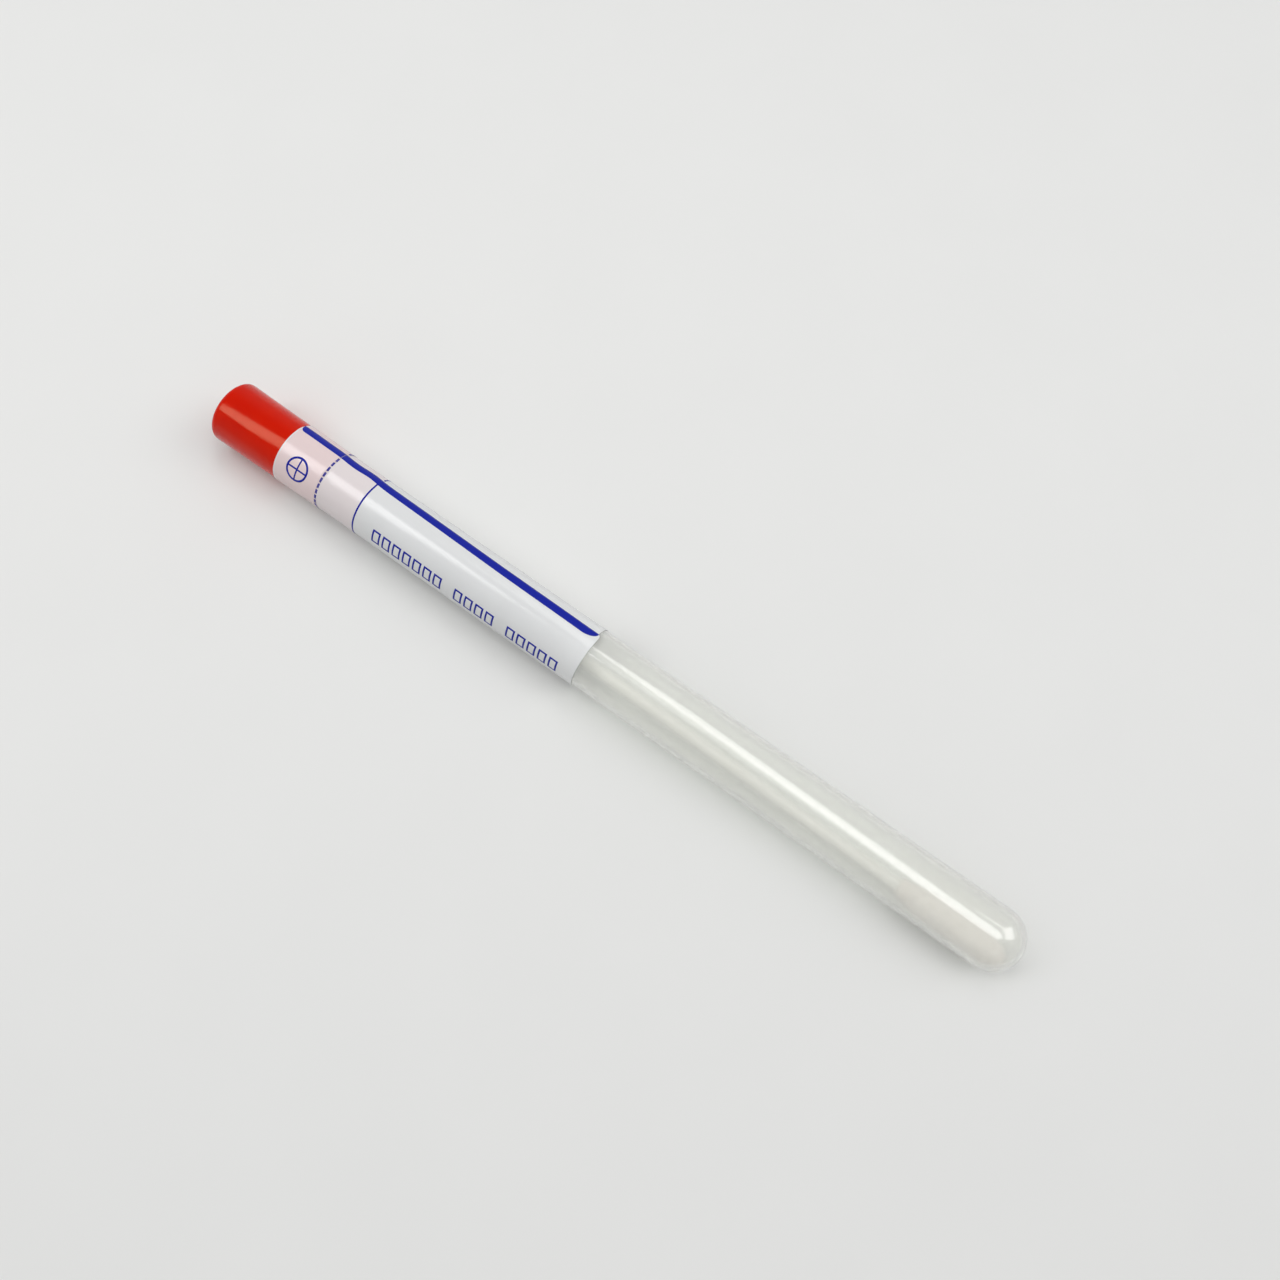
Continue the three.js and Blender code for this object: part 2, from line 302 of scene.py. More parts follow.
plug_wall_radius = PLUG_RADIUS - RIB_HEIGHT
rib_pitch = (PLUG_END - GRIP_MOUTH) / (RIBS + 1)
ribs = []
for i in range(1, RIBS + 1):
    rib = GRIP_MOUTH + rib_pitch * i
    ribs += [
        (rib - RIB_LENGTH / 2, plug_wall_radius, 0),
        (rib, PLUG_RADIUS + RIB_SQUEEZE, RIB_CREST),
        (rib + RIB_LENGTH / 2, plug_wall_radius, 0),
    ]
cap = bmesh.new()
section(cap, [
    (CAP_END + END_RECESS - GATE_PIN_HEIGHT, 0, 0),
    (CAP_END + END_RECESS - GATE_PIN_HEIGHT, GATE_PIN_RADIUS, GATE_PIN_ROUND),
    (CAP_END + END_RECESS, GATE_PIN_RADIUS, GATE_PIN_FILLET),
    (CAP_END + END_RECESS, END_RECESS_RADIUS, END_RECESS_ROUND),
    (CAP_END, END_RECESS_RADIUS + END_RECESS, END_RECESS_ROUND),
    (CAP_END, GRIP_END_RADIUS, GRIP_ROUND),
    (GRIP_MOUTH, GRIP_MOUTH_RADIUS, GRIP_MOUTH_ROUND),
    (GRIP_MOUTH, plug_wall_radius, PLUG_FILLET),
    *ribs,
    (PLUG_END, plug_wall_radius, PLUG_CHAMFER),
    (PLUG_END, plug_wall_radius - PLUG_WALL, PLUG_LIP_ROUND),
    (CAP_END + END_WALL, plug_wall_radius - PLUG_WALL - CORE_DRAFT, CORE_FILLET),
    (CAP_END + END_WALL, BOSS_RADIUS, CORE_FILLET),
    (BOSS_END, BOSS_RADIUS, BOSS_ROUND),
    (BOSS_END, SOCKET_RADIUS, SOCKET_LEAD_IN),
    (BOSS_END - SOCKET_DEPTH, SOCKET_RADIUS, 0),
    (BOSS_END - SOCKET_DEPTH, 0, 0),
])
turn(cap, CAP_SIDES)
shaded(cap)
piece("cap_moulding", cap, red_polyethylene(), "swab_cap", "cap_polyethylene", "cap")

# ---------------------------------------------------------------- swab stick
# The stick is a moulded polystyrene rod, pressed into the cap's boss. Its mould's two halves left a fine
# parting line down each side. Past the boss it leans until its bud lies against the bore.

stick_low, stick_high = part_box("swab_stick")
bud_low, bud_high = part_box("cotton_bud")
STICK_RADIUS = 1.25 * MM
STICK_ROUND = 0.3 * MM
PARTING_LINE = 0.035 * MM
MOULD_SPLIT = 0.01 * MM
STICK_SIDES = 48
STREAK_WIDTH = 0.4 * MM
STREAK_STRETCH = 0.08
BUD_RADIUS = 2.6 * MM
BUD_TIP = 4.2 * MM
BUD_FROM_BORE = 0.17 * MM
LEAN_BELOW_LEVEL = math.radians(20)
LEAN_SLOPE = (BORE_RADIUS - BUD_RADIUS - BUD_FROM_BORE) / (bud_high.x - BUD_TIP - BOSS_END)


def leaned(place):
    """A place on the straight swab, moved with the swab's lean."""
    sideways = LEAN_SLOPE * max(place.x - BOSS_END, 0)
    lean = Vector((0, -math.cos(LEAN_BELOW_LEVEL), -math.sin(LEAN_BELOW_LEVEL)))
    return place + lean * sideways


def moulded_polystyrene():
    """White polystyrene as it leaves the mould: hard, smooth and bright, with a slightly warm body."""
    made = new_material("moulded_polystyrene")
    place = add(made, "ShaderNodeTexCoord", {}).outputs["Object"]
    along = add(made, "ShaderNodeMapping", {
        "Vector": place, "Scale": (STREAK_STRETCH, 1, 1),
    }).outputs["Vector"]
    streak = add(made, "ShaderNodeTexNoise", {"Vector": along, "Scale": 1 / STREAK_WIDTH, "Detail": 2})
    colour = add(made, "ShaderNodeMix", {
        "Factor": streak.outputs["Fac"], "A": linear("#E9E7DF"), "B": linear("#F3F2EC"),
    }, data_type="RGBA")
    roughness = add(made, "ShaderNodeMapRange", {
        "Value": streak.outputs["Fac"], "To Min": 0.22, "To Max": 0.34,
    })
    skin = add(made, "ShaderNodeBsdfPrincipled", {
        "Base Color": colour.outputs["Result"], "Roughness": roughness.outputs["Result"], "IOR": 1.59,
    })
    add(made, "ShaderNodeOutputMaterial", {"Surface": skin.outputs["BSDF"]})
    return made


stick = bmesh.new()
section(stick, [
    (stick_low.x, 0, 0),
    (stick_low.x, STICK_RADIUS, STICK_ROUND),
    (BOSS_END, STICK_RADIUS, 0),
    (stick_high.x, STICK_RADIUS, STICK_ROUND),
    (stick_high.x, 0, 0),
])
turn(stick, STICK_SIDES)
for vert in stick.verts:
    across = Vector((0, vert.co.y, vert.co.z - AXIS_HEIGHT))
    if abs(across.z) < MOULD_SPLIT and across.length > STICK_RADIUS - MOULD_SPLIT:
        vert.co += across.normalized() * PARTING_LINE
    vert.co = leaned(vert.co)
shaded(stick)
piece("swab_stick_moulding", stick, moulded_polystyrene(), "swab_cap", "stick_polystyrene", "swab_stick")

# ---------------------------------------------------------------- cotton bud
# The bud is cotton sliver wound tightly onto the stick's end, round at the tip and run out thin at its
# shoulder. The turns lie nearly square to the stick, and stray fibres stand a little off the surface.

BUD_GRIP = 0.02 * MM
BUD_COLLAR = 0.4 * MM
BUD_COLLAR_ROUND = 0.15 * MM
BUD_SHOULDER = 4.5 * MM
BUD_SHOULDER_ROUND = 2.0 * MM
BUD_SIDES = 180
BUD_STEP = 0.12 * MM
BUD_SHARPEST = 80
BORE_CLEARANCE = 0.02 * MM
FIBRE_PITCH = 0.22 * MM
FIBRE_LIFT = 0.05 * MM
STRAND_STRETCH = 0.25
LUMP_SIZE = 1.6 * MM
LUMP_LIFT = 0.09 * MM
WINDING_LEAD = 9 * MM
WINDING_SLANT = math.tau / WINDING_LEAD
STRAY_FIBRES = 900
STRAY_RADIUS = 0.011 * MM
STRAY_LIFT = 0.12 * MM
STRAY_RISE = (0.2, 1.0)
STRAY_HALF_LENGTH_MM = (0.3, 1.1)
STRAY_SLANT = 0.5
STRAY_BOW = 0.25
STRAY_POINTS = 7
STRAY_SEED = 4

# The bud's round tip: how far back each corner stands, as a share of the tip's length, its share of the bud's
# radius, and the length rounded off.
BUD_TIP_CORNERS = ((1, 1, 1.2 * MM), (0.38, 0.88, 1.0 * MM), (0, 0.42, 0.9 * MM))


def wound_cotton():
    """Bleached cotton wool: matt, soft and faintly warm, with painted shade darkening the grooves between the
    wound strands.
    """
    made = new_material("wound_cotton")
    place = add(made, "ShaderNodeTexCoord", {}).outputs["Object"]
    wound = add(made, "ShaderNodeMapping", {
        "Vector": place, "Scale": (1, STRAND_STRETCH, STRAND_STRETCH),
    }).outputs["Vector"]
    strand = add(made, "ShaderNodeTexNoise", {"Vector": wound, "Scale": 1 / FIBRE_PITCH, "Detail": 4})
    # Painted shade: the colour darkens where the strands' relief is low, in the grooves between them.
    colour = add(made, "ShaderNodeMix", {
        "Factor": strand.outputs["Fac"], "A": linear("#E2DAD1"), "B": linear("#F7F2EC"),
    }, data_type="RGBA")
    relief = add(made, "ShaderNodeBump", {
        "Height": strand.outputs["Fac"], "Strength": 0.6, "Distance": 0.06 * MM,
    })
    skin = add(made, "ShaderNodeBsdfPrincipled", {
        "Base Color": colour.outputs["Result"], "Normal": relief.outputs["Normal"],
        "Roughness": 0.95, "Sheen Weight": 0.3, "Sheen Roughness": 0.6,
    })
    add(made, "ShaderNodeOutputMaterial", {"Surface": skin.outputs["BSDF"]})
    return made


bud = bmesh.new()
section(bud, [
    (bud_low.x, STICK_RADIUS - BUD_GRIP, 0),
    (bud_low.x, STICK_RADIUS + BUD_COLLAR, BUD_COLLAR_ROUND),
    (bud_low.x + BUD_SHOULDER, BUD_RADIUS, BUD_SHOULDER_ROUND),
    *[(bud_high.x - BUD_TIP * back, BUD_RADIUS * wide, rounding) for back, wide, rounding in BUD_TIP_CORNERS],
    (bud_high.x, 0, 0),
])
for edge in bud.edges[:]:
    cuts = int(edge.calc_length() / BUD_STEP)
    if cuts:
        bmesh.ops.subdivide_edges(bud, edges=[edge], cuts=cuts)
turn(bud, BUD_SIDES)


def strand_lift(place):
    """How far the wound strands stand out at a place on the smooth bud."""
    twisted = Matrix.Rotation(place.x * WINDING_SLANT, 3, "X") @ (place - Vector((0, 0, AXIS_HEIGHT)))
    strand = Vector((twisted.x / FIBRE_PITCH, twisted.y / LUMP_SIZE, twisted.z / LUMP_SIZE))
    return noise.noise(strand) * FIBRE_LIFT + noise.noise(twisted / LUMP_SIZE) * LUMP_LIFT


def within_bore(place):
    """A place on the bud, pressed flat where it would reach into the tube's wall."""
    centre = Vector((min(place.x, BOTTOM_CENTRE), 0, AXIS_HEIGHT))
    reach = place - centre
    return centre + reach * min(1, (BORE_RADIUS - BORE_CLEARANCE) / reach.length)


bud.normal_update()
lifts = [(vert, vert.normal * strand_lift(vert.co)) for vert in bud.verts if vert.co.x > bud_low.x]
for vert, lift in lifts:
    vert.co += lift
for vert in bud.verts:
    vert.co = within_bore(leaned(vert.co))
bud.normal_update()
bud_skin = [
    (vert.co.copy(), vert.normal.copy()) for vert in bud.verts if vert.co.x > bud_low.x + BUD_COLLAR
]
shaded(bud, BUD_SHARPEST)
cotton = wound_cotton()
piece("cotton_bud_winding", bud, cotton, "swab_cap", "cotton", "cotton_bud")

# Loose cotton fibres stand off the bud: fine strands that follow its surface and lift at their ends.
chance = random.Random(STRAY_SEED)
strays = bpy.data.curves.new("cotton_bud_stray_fibres", "CURVE")
strays.dimensions = "3D"
strays.bevel_depth = STRAY_RADIUS
strays.bevel_resolution = 0
for _ in range(STRAY_FIBRES):
    root, normal = chance.choice(bud_skin)
    around = normal.cross(Vector((1, 0, 0))).normalized()
    slant = chance.gauss(0, STRAY_SLANT)
    way = around * math.cos(slant) + Vector((1, 0, 0)) * math.sin(slant)
    half = chance.uniform(*STRAY_HALF_LENGTH_MM) * MM
    bow = chance.uniform(-STRAY_BOW, STRAY_BOW)
    lift = chance.uniform(*STRAY_RISE) * STRAY_LIFT
    strand = strays.splines.new("POLY")
    strand.points.add(STRAY_POINTS - 1)
    for i, point in enumerate(strand.points):
        step = i / (STRAY_POINTS // 2) - 1
        side = normal.cross(way) * bow * half * step * step
        drop = (half * step * math.cos(slant)) ** 2 / (2 * BUD_RADIUS)
        place = root + way * half * step + side + normal * (lift * step * step - drop)
        point.co = (*within_bore(place), 1)
loose = bpy.data.objects.new("cotton_bud_stray_fibres", strays)
bpy.context.scene.collection.objects.link(loose)
strays.materials.append(cotton)
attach(loose, "swab_cap")

# ---------------------------------------------------------------- label
# One white film, self-adhesive, is wound a whole turn and a short lap round tube and cap. It is perforated
# where they meet, so that opening the tube parts it into the label proper and the seal tab on the cap.

PERFORATION = (GRIP_MOUTH + MOUTH) / 2
TAB_LENGTH = 10.5 * MM
TAB_START = PERFORATION - TAB_LENGTH
LABEL_LENGTH = 61.9 * MM
LABEL_END = PERFORATION + LABEL_LENGTH
FILM = 0.08 * MM
FILM_BED = 0.01 * MM
FILM_LAP = 2.0 * MM
FILM_RAMP = 0.6 * MM
FILM_CORNER = 1.0 * MM
FILM_DIE_EDGE = 0.2 * MM
FILM_TINT_EDGE = 0.4 * MM
FILM_LETS_THROUGH = 0.2
FILM_EDGE = math.radians(46.5)
FILM_SKEW = math.tan(math.radians(1.03))
FILM_TURN = math.tau * TUBE_RADIUS
FILM_WOUND = FILM_TURN + FILM_LAP
FILM_ROWS = 144
FILM_CLOUD_SIZE = 3 * MM
FILM_GRAIN_SIZE = 0.15 * MM
BRIDGE_LENGTH = 0.7 * MM
PUCKER = 0.012 * MM
PUCKER_SIZE = 5 * MM
NIB_LENGTH = 0.03 * MM
NIB_WIDTH = 0.35 * MM
NIB_PITCH = 1.25 * MM

# Where the film's visible edge strays from straight: (place, height and spread in millimetres past the tab's
# start). It rides up a little over the cap's joint and hangs slack along the tube.
EDGE_WAVES = ((5.0, 0.2, 5.0), (10.5, 0.22, 3.0), (17.6, 0.38, 2.6), (50, -0.12, 14))


def carrier_radius(x):
    """The radius of what the film lies on: the drafted grip, then the tube, with a soft step between."""
    if x < PERFORATION:
        share = (x - CAP_END) / (GRIP_MOUTH - CAP_END)
        return GRIP_END_RADIUS + (GRIP_MOUTH_RADIUS - GRIP_END_RADIUS) * share
    step = GRIP_MOUTH_RADIUS - TUBE_RADIUS
    return TUBE_RADIUS + step * math.exp(-(x - PERFORATION) / BRIDGE_LENGTH)


def edge_angle(x):
    """The angle of the film's visible edge, from straight up towards +Y."""
    past = (x - TAB_START) / MM
    wave = sum(h * MM * math.exp(-((past - at) / spread) ** 2) for at, h, spread in EDGE_WAVES)
    return FILM_EDGE + (wave - (x - TAB_START) * FILM_SKEW) / TUBE_RADIUS


def flat(mesh, left, right, low, high, columns, rows):
    """A flat rectangle of film or ink. Its x is the place along the tube, its y the length wound off from
    the film's visible edge."""
    middle = Matrix.Translation(((left + right) / 2, (low + high) / 2, 0))
    size = Matrix.Diagonal((right - left, high - low, 1, 1))
    bmesh.ops.create_grid(mesh, x_segments=columns, y_segments=rows, size=0.5, matrix=middle @ size)


def wind(mesh, height):
    """Winds a flat sheet onto tube and cap, with its inner face the given height above their skin."""
    bmesh.ops.remove_doubles(mesh, verts=mesh.verts, dist=SKIN_WELD)
    for vert in mesh.verts:
        x, off = vert.co.x, vert.co.y
        on_top = min(max((FILM_LAP + FILM_RAMP - off) / FILM_RAMP, 0), 1)
        angle = edge_angle(x) - off / TUBE_RADIUS
        across = Vector((0, math.sin(angle), math.cos(angle)))
        pucker = PUCKER * (1 + noise.noise((Vector((x, 0, 0)) + across * TUBE_RADIUS) / PUCKER_SIZE))
        radius = carrier_radius(x) + FILM_BED + (FILM + FILM_BED) * on_top + pucker + height
        vert.co = Vector((x, 0, AXIS_HEIGHT)) + across * radius
    bmesh.ops.recalc_face_normals(mesh, faces=mesh.faces)
    outward = mesh.faces[:][0]
    middle = Vector((outward.calc_center_median().x, 0, AXIS_HEIGHT))
    if outward.normal.dot(outward.calc_center_median() - middle) < 0:
        bmesh.ops.reverse_faces(mesh, faces=mesh.faces)


def thicken(sheet, thickness, backing=None):
    """Gives a wound sheet its thickness outwards, with a material of its own on its back if it has one."""
    wall = sheet.modifiers.new("thickness", "SOLIDIFY")
    wall.thickness = thickness
    wall.offset = 1
    if backing:
        sheet.data.materials.append(backing)
        wall.material_offset = 1


def white_polyolefin_film(name, painted_show_through, bare_from, red_from):
    """White polyolefin label film with a calendered satin face. It is thin enough to let some light through,
    and
    red polyethylene under it shows pink: partly as light through the film, partly as painted show-through in
    its colour, not yet at bare_from along the tube, fully at red_from."""
    made = new_material(name)
    place = add(made, "ShaderNodeTexCoord", {}).outputs["Object"]
    cloud = add(made, "ShaderNodeTexNoise", {"Vector": place, "Scale": 1 / FILM_CLOUD_SIZE, "Detail": 3})
    grain = add(made, "ShaderNodeTexNoise", {"Vector": place, "Scale": 1 / FILM_GRAIN_SIZE, "Detail": 2})
    along = add(made, "ShaderNodeSeparateXYZ", {"Vector": place}).outputs["X"]
    show_through_share = add(made, "ShaderNodeMapRange", {
        "Value": along, "From Min": bare_from, "From Max": red_from,
    })
    white = add(made, "ShaderNodeMix", {
        "Factor": cloud.outputs["Fac"], "A": linear("#EEEFEF"), "B": linear("#F2F3F3"),
    }, data_type="RGBA")
    # Painted show-through: pink painted into the film's colour where red lies under it, standing in for light
    # that comes back through the film.
    colour = add(made, "ShaderNodeMix", {
        "Factor": show_through_share.outputs["Result"], "A": white.outputs["Result"], "B": linear(painted_show_through),
    }, data_type="RGBA")
    roughness = add(made, "ShaderNodeMapRange", {
        "Value": cloud.outputs["Fac"], "To Min": 0.14, "To Max": 0.2,
    })
    relief = add(made, "ShaderNodeBump", {
        "Height": grain.outputs["Fac"], "Strength": 0.1, "Distance": 0.01 * MM,
    })
    face = add(made, "ShaderNodeBsdfPrincipled", {
        "Base Color": colour.outputs["Result"], "Roughness": roughness.outputs["Result"],
        "Normal": relief.outputs["Normal"], "IOR": 1.5,
    })
    through = add(made, "ShaderNodeBsdfTranslucent", {"Color": colour.outputs["Result"]})
    film = add(made, "ShaderNodeMixShader", {
        0: FILM_LETS_THROUGH, 1: face.outputs["BSDF"], 2: through.outputs["BSDF"],
    })
    add(made, "ShaderNodeOutputMaterial", {"Surface": film.outputs["Shader"]})
    return made


def clear_adhesive():
    """The acrylic adhesive on the film's back: too thin and clear to see, so light just passes it."""
    made = new_material("clear_adhesive")
    clear = add(made, "ShaderNodeBsdfTransparent", {})
    add(made, "ShaderNodeOutputMaterial", {"Surface": clear.outputs["BSDF"]})
    return made


def corner_inset(distance, radius):
    """How far a rounded corner draws an edge back, at a distance from the sheet's end."""
    inside = max(radius - distance, 0)
    return radius - math.sqrt(radius * radius - inside * inside)


def round_corners(mesh, end, radius):
    """Rounds the film's two visible corners at one end, by drawing its long edges in."""
    for vert in mesh.verts:
        inset = corner_inset(abs(vert.co.x - end), radius)
        share = vert.co.y / FILM_WOUND
        vert.co.y += inset * (1 - 2 * share)


# The pink in both films is partly painted show-through. On the tube the painted pink over the plug stays when
# the cap is pulled out.
tube_film = white_polyolefin_film(
    "white_polyolefin_film_on_tube", painted_show_through="#F3EBEB",
    bare_from=PLUG_END + FILM_TINT_EDGE, red_from=PLUG_END - FILM_TINT_EDGE,
)
cap_film = white_polyolefin_film(
    "white_polyolefin_film_on_cap", painted_show_through="#F3E2E1",
    bare_from=TAB_START + FILM_DIE_EDGE, red_from=TAB_START + 2 * FILM_DIE_EDGE,
)
adhesive = clear_adhesive()

label = bmesh.new()
corner_start = LABEL_END - FILM_CORNER
flat(label, PERFORATION + NIB_LENGTH / 2, corner_start, 0, FILM_WOUND, columns=100, rows=FILM_ROWS)
flat(label, corner_start, LABEL_END, 0, FILM_WOUND, columns=10, rows=FILM_ROWS)
round_corners(label, LABEL_END, FILM_CORNER)
for vert in label.verts:
    along = (vert.co.x - PERFORATION) / (LABEL_END - PERFORATION)
    vert.co.x -= vert.co.y * FILM_SKEW * along
wind(label, 0)
shaded(label)
thicken(piece("label_wrap", label, tube_film, "tube", "label_film", "label"), FILM, adhesive)

tab = bmesh.new()
corner_end = TAB_START + FILM_CORNER
flat(tab, TAB_START, corner_end, 0, FILM_WOUND, columns=10, rows=FILM_ROWS)
flat(tab, corner_end, PERFORATION - NIB_LENGTH / 2, 0, FILM_WOUND, columns=18, rows=FILM_ROWS)
round_corners(tab, TAB_START, FILM_CORNER)
nib = NIB_PITCH / 2
while nib < FILM_WOUND:
    flat(
        tab, PERFORATION - NIB_LENGTH / 2, PERFORATION + NIB_LENGTH / 2, nib, nib + NIB_WIDTH,
        columns=1, rows=2,
    )
    nib += NIB_PITCH
wind(tab, 0)
shaded(tab)
thicken(piece("seal_tab_wrap", tab, cap_film, "swab_cap", "label_film", "seal_tab"), FILM, adhesive)

# ---------------------------------------------------------------- print
# All print is one navy ink on the film: the stripe along its edge, dashes over the perforation, the line at
# the plug's end, a ring with a plain cross, and empty boxes for a number.

INK = 0.01 * MM
INK_CLEARANCE = 0.004 * MM
INK_HEIGHT = FILM + INK_CLEARANCE
PRESS_MOTTLE_SIZE = 0.5 * MM
STRIPE_MARGIN = 0.06 * MM
STRIPE_END_MARGIN = 0.5 * MM
STRIPE_WIDTH = 1.75 * MM
STRIPE_TAPER = 3.0 * MM
STRIPE_START_TAPER = 1.2 * MM
STRIPE_TIP = 0.1 * MM
STRIPE_ROWS = 6
LINE_WIDTH = 0.36 * MM
LINE_PLACE = PERFORATION + 9.3 * MM
DASH_WIDTH = 0.19 * MM
DASH_FROM_CUT = 0.005 * MM
MARK_RADIUS = 2.45 * MM
MARK_STROKE = 0.42 * MM
MARK_CROSS_STROKE = 0.32 * MM
MARK_SIDES = 72
MARK_PLACE = PERFORATION - 5.4 * MM
MARK_FROM_EDGE = 8.7 * MM
BOX_WIDTH = 1.9 * MM
BOX_HEIGHT = 3.0 * MM
BOX_PITCH = 2.48 * MM
BOX_STROKE = 0.38 * MM
BOX_CUTS = 12
BOX_GROUPS = (7, 4, 5)
BOXES_START = PERFORATION + 14.0 * MM
BOXES_FROM_EDGE = 9.2 * MM


def navy_flexo_ink():
    """Flexographic ink: a thin even navy with a slight sheen, a little lighter where the plate pressed
    less."""
    made = new_material("navy_flexo_ink")
    place = add(made, "ShaderNodeTexCoord", {}).outputs["Object"]
    press = add(made, "ShaderNodeTexNoise", {"Vector": place, "Scale": 1 / PRESS_MOTTLE_SIZE, "Detail": 3})
    colour = add(made, "ShaderNodeMix", {
        "Factor": press.outputs["Fac"], "A": linear("#0E1C93"), "B": linear("#172599"),
    }, data_type="RGBA")
    roughness = add(made, "ShaderNodeMapRange", {
        "Value": press.outputs["Fac"], "To Min": 0.3, "To Max": 0.42,
    })
    skin = add(made, "ShaderNodeBsdfPrincipled", {
        "Base Color": colour.outputs["Result"], "Roughness": roughness.outputs["Result"],
        "IOR": 1.45, "Specular IOR Level": 0.18,
    })
    add(made, "ShaderNodeOutputMaterial", {"Surface": skin.outputs["BSDF"]})
    return made


ink = navy_flexo_ink()


def printed(name, mesh, body, *nodes):
    """Winds flat print onto the film and gives it the ink's thickness."""
    wind(mesh, INK_HEIGHT)
    shaded(mesh)
    thicken(piece(name, mesh, ink, body, "navy_ink", *nodes), INK)


def taper(mesh, end, length):
    """Draws the stripe's lower edge up to its tip over a length before one end."""
    for vert in mesh.verts:
        inset = corner_inset(abs(vert.co.x - end), length) / length * (STRIPE_WIDTH - STRIPE_TIP)
        vert.co.y -= inset * (vert.co.y - STRIPE_MARGIN) / STRIPE_WIDTH


stripe_low = STRIPE_MARGIN + STRIPE_WIDTH
label_stripe = bmesh.new()
stripe_end = LABEL_END - STRIPE_END_MARGIN
taper_start = stripe_end - STRIPE_TAPER
flat(
    label_stripe, PERFORATION + NIB_LENGTH, taper_start, STRIPE_MARGIN, stripe_low,
    columns=160, rows=STRIPE_ROWS,
)
flat(label_stripe, taper_start, stripe_end, STRIPE_MARGIN, stripe_low, columns=24, rows=STRIPE_ROWS)
taper(label_stripe, stripe_end, STRIPE_TAPER)
printed("label_stripe_print", label_stripe, "tube", "label_stripe")

tab_stripe = bmesh.new()
stripe_start = TAB_START + STRIPE_MARGIN
flat(
    tab_stripe, stripe_start, PERFORATION - NIB_LENGTH, STRIPE_MARGIN, stripe_low,
    columns=60, rows=STRIPE_ROWS,
)
taper(tab_stripe, stripe_start, STRIPE_START_TAPER)
printed("tab_stripe_print", tab_stripe, "swab_cap", "tab_stripe")

line = bmesh.new()
line_left = LINE_PLACE - LINE_WIDTH / 2
flat(line, line_left, line_left + LINE_WIDTH, stripe_low, FILM_TURN - LINE_WIDTH, columns=2, rows=130)
printed("cut_line_print", line, "tube", "cut_line")

for name, body, side in (("label_dashes_print", "tube", 1), ("tab_dashes_print", "swab_cap", -1)):
    dashes = bmesh.new()
    near = PERFORATION + side * (NIB_LENGTH / 2 + DASH_FROM_CUT)
    dash = NIB_PITCH / 2 + NIB_WIDTH
    while dash < FILM_TURN - NIB_PITCH:
        if dash > stripe_low:
            ends = sorted((near, near + side * DASH_WIDTH))
            flat(dashes, *ends, dash, dash + NIB_PITCH - NIB_WIDTH, columns=1, rows=4)
        dash += NIB_PITCH
    printed(name, dashes, body)

mark = bmesh.new()
radii = [mark.verts.new((MARK_RADIUS - MARK_STROKE, 0, 0)), mark.verts.new((MARK_RADIUS, 0, 0))]
mark.edges.new(radii)
bmesh.ops.spin(
    mark, geom=mark.verts[:] + mark.edges[:], cent=(0, 0, 0), axis=(0, 0, 1),
    angle=math.tau, steps=MARK_SIDES, use_merge=True,
)
arm = MARK_RADIUS - MARK_STROKE
flat(mark, -arm, arm, -MARK_CROSS_STROKE / 2, MARK_CROSS_STROKE / 2, columns=12, rows=2)
flat(mark, -MARK_CROSS_STROKE / 2, MARK_CROSS_STROKE / 2, -arm, arm, columns=2, rows=12)
bmesh.ops.translate(mark, verts=mark.verts, vec=(MARK_PLACE, MARK_FROM_EDGE, 0))
printed("ring_mark_print", mark, "swab_cap", "ring_mark")

boxes = bmesh.new()
left = BOXES_START
for count in BOX_GROUPS:
    for _ in range(count):
        flat(
            boxes, left, left + BOX_WIDTH, BOXES_FROM_EDGE, BOXES_FROM_EDGE + BOX_HEIGHT,
            columns=1, rows=1,
        )
        left += BOX_PITCH
    left += BOX_PITCH
insides = boxes.faces[:]
bmesh.ops.inset_individual(boxes, faces=insides, thickness=BOX_STROKE, use_even_offset=True)
bmesh.ops.delete(boxes, geom=insides, context="FACES_ONLY")
for i in range(1, BOX_CUTS):
    bmesh.ops.bisect_plane(
        boxes, geom=boxes.verts[:] + boxes.edges[:] + boxes.faces[:],
        plane_co=(0, BOXES_FROM_EDGE + BOX_HEIGHT * i / BOX_CUTS, 0), plane_no=(0, 1, 0),
    )
printed("number_boxes_print", boxes, "tube")

# ---------------------------------------------------------------- floor, light and camera
# A plain pale board in a room with pale walls and a dim ceiling. Two softboxes hang over the object and a
# larger one stands at its right. The walls look a little paler than the light that they give.

WALL_SEEN = 0.55
WALL_LIGHT = 0.42
CEILING_LIGHT = 0.33
WALL_TOP = 0.45
CEILING_EDGE = 0.75
ROOM_COLOUR = "#FCFDFF"
FLOOR_SIZE = 3.0
FLOOR_FADE_START = 0.25
FLOOR_FADE_END = 0.85
FLOOR_MOTTLE_SIZE = 30 * MM
LENS = 36
SENSOR_WIDTH = 36
CLIP_START = 0.01
AZIMUTH = math.radians(35.8)
ELEVATION = math.radians(71.92)
DISTANCE = 0.23996
LOOK_AT = Vector((3.235 * MM, 8.33 * MM, AXIS_HEIGHT))

# Each softbox's place, length, width, tilt and turn in degrees, and brightness.
SOFTBOXES = {
    "softbox_over_tube": ((0.04, 0.167, 0.6), 0.6, 0.22, 0, -41, 2.9),
    "softbox_over_cap": ((-0.417, -0.201, 0.6), 0.6, 0.18, 0, 55, 6.2),
    "softbox_at_right": ((0.6, 0.5, 0.7), 0.6, 0.6, -48.2, -50.2, 2.5),
}


def looking(owner):
    """1 where the surroundings are seen, straight, in a gloss or through the tube, and 0 where they light."""
    path = add(owner, "ShaderNodeLightPath", {})
    seen = path.outputs["Is Camera Ray"]
    for kind in ("Is Glossy Ray", "Is Transmission Ray"):
        both = {0: seen, 1: path.outputs[kind]}
        seen = add(owner, "ShaderNodeMath", both, operation="MAXIMUM").outputs[0]
    return seen


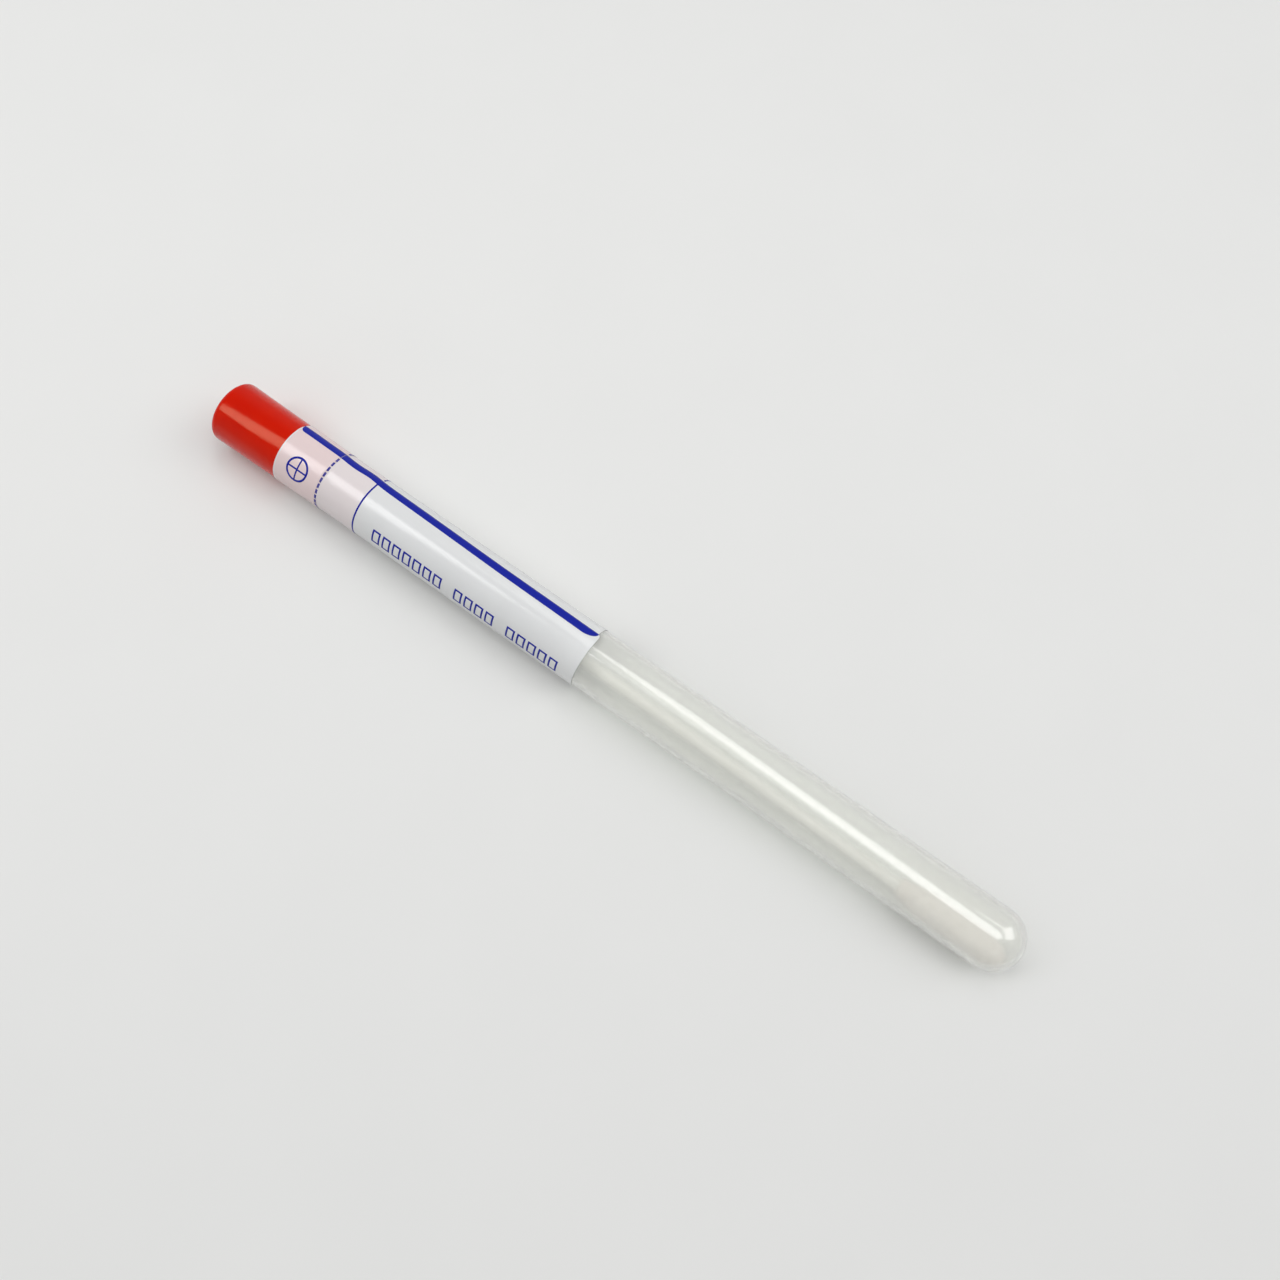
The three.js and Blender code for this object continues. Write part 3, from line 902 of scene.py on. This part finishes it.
def pale_board():
    """Matt coated board: near white, very slightly warm, with a faint mottle. Far from the object it fades
    into the room's pale walls."""
    made = new_material("pale_board")
    place = add(made, "ShaderNodeTexCoord", {}).outputs["Object"]
    mottle = add(made, "ShaderNodeTexNoise", {"Vector": place, "Scale": 1 / FLOOR_MOTTLE_SIZE, "Detail": 3})
    colour = add(made, "ShaderNodeMix", {
        "Factor": mottle.outputs["Fac"], "A": linear("#E2E2E0"), "B": linear("#E5E5E3"),
    }, data_type="RGBA")
    skin = add(made, "ShaderNodeBsdfPrincipled", {
        "Base Color": colour.outputs["Result"], "Roughness": 0.7, "Specular IOR Level": 0.2,
    })
    away = add(made, "ShaderNodeVectorMath", {0: place}, operation="LENGTH").outputs["Value"]
    far = add(made, "ShaderNodeMapRange", {
        "Value": away, "From Min": FLOOR_FADE_START, "From Max": FLOOR_FADE_END,
    }, interpolation_type="SMOOTHSTEP").outputs["Result"]
    share = add(made, "ShaderNodeMath", {0: far, 1: looking(made)}, operation="MULTIPLY").outputs[0]
    backdrop = add(made, "ShaderNodeEmission", {"Color": linear(ROOM_COLOUR), "Strength": WALL_SEEN})
    board = add(made, "ShaderNodeMixShader", {
        0: share, 1: skin.outputs["BSDF"], 2: backdrop.outputs["Emission"],
    })
    add(made, "ShaderNodeOutputMaterial", {"Surface": board.outputs["Shader"]})
    return made


ground = bmesh.new()
bmesh.ops.create_grid(ground, x_segments=1, y_segments=1, size=FLOOR_SIZE)
bmesh.ops.translate(ground, verts=ground.verts, vec=(0, 0, AXIS_HEIGHT - GRIP_END_RADIUS))
put("floor", ground, pale_board())

world = bpy.data.worlds.new("pale_room")
world.use_nodes = True
world.node_tree.nodes.clear()
way = add(world, "ShaderNodeTexCoord", {}).outputs["Generated"]
height = add(world, "ShaderNodeSeparateXYZ", {"Vector": way}).outputs["Z"]
wall = add(world, "ShaderNodeMix", {"Factor": looking(world), "A": WALL_LIGHT, "B": WALL_SEEN})
strength = add(world, "ShaderNodeMapRange", {
    "Value": height, "From Min": WALL_TOP, "From Max": CEILING_EDGE,
    "To Min": wall.outputs["Result"], "To Max": CEILING_LIGHT,
}, interpolation_type="SMOOTHSTEP")
room = add(world, "ShaderNodeBackground", {
    "Color": linear(ROOM_COLOUR), "Strength": strength.outputs["Result"],
})
add(world, "ShaderNodeOutputWorld", {"Surface": room.outputs["Background"]})
bpy.context.scene.world = world

for name, (place, length, width, tilt, turned, brightness) in SOFTBOXES.items():
    lamp_data = bpy.data.lights.new(name, "AREA")
    lamp_data.shape = "RECTANGLE"
    lamp_data.size = length
    lamp_data.size_y = width
    lamp_data.energy = brightness * math.pi * length * width
    lamp = bpy.data.objects.new(name, lamp_data)
    lamp.location = place
    lamp.rotation_euler = (math.radians(tilt), 0, math.radians(turned))
    bpy.context.scene.collection.objects.link(lamp)

back = Vector((
    math.sin(AZIMUTH) * math.cos(ELEVATION),
    -math.cos(AZIMUTH) * math.cos(ELEVATION),
    math.sin(ELEVATION),
))
camera_data = bpy.data.cameras.new("camera")
camera_data.lens = LENS
camera_data.sensor_width = SENSOR_WIDTH
camera_data.clip_start = CLIP_START
camera = bpy.data.objects.new("camera", camera_data)
camera.location = LOOK_AT + back * DISTANCE
camera.rotation_mode = "QUATERNION"
camera.rotation_quaternion = (-back).to_track_quat("-Z", "Y")
bpy.context.scene.collection.objects.link(camera)
bpy.context.scene.camera = camera
bpy.context.scene.view_settings.view_transform = "Standard"
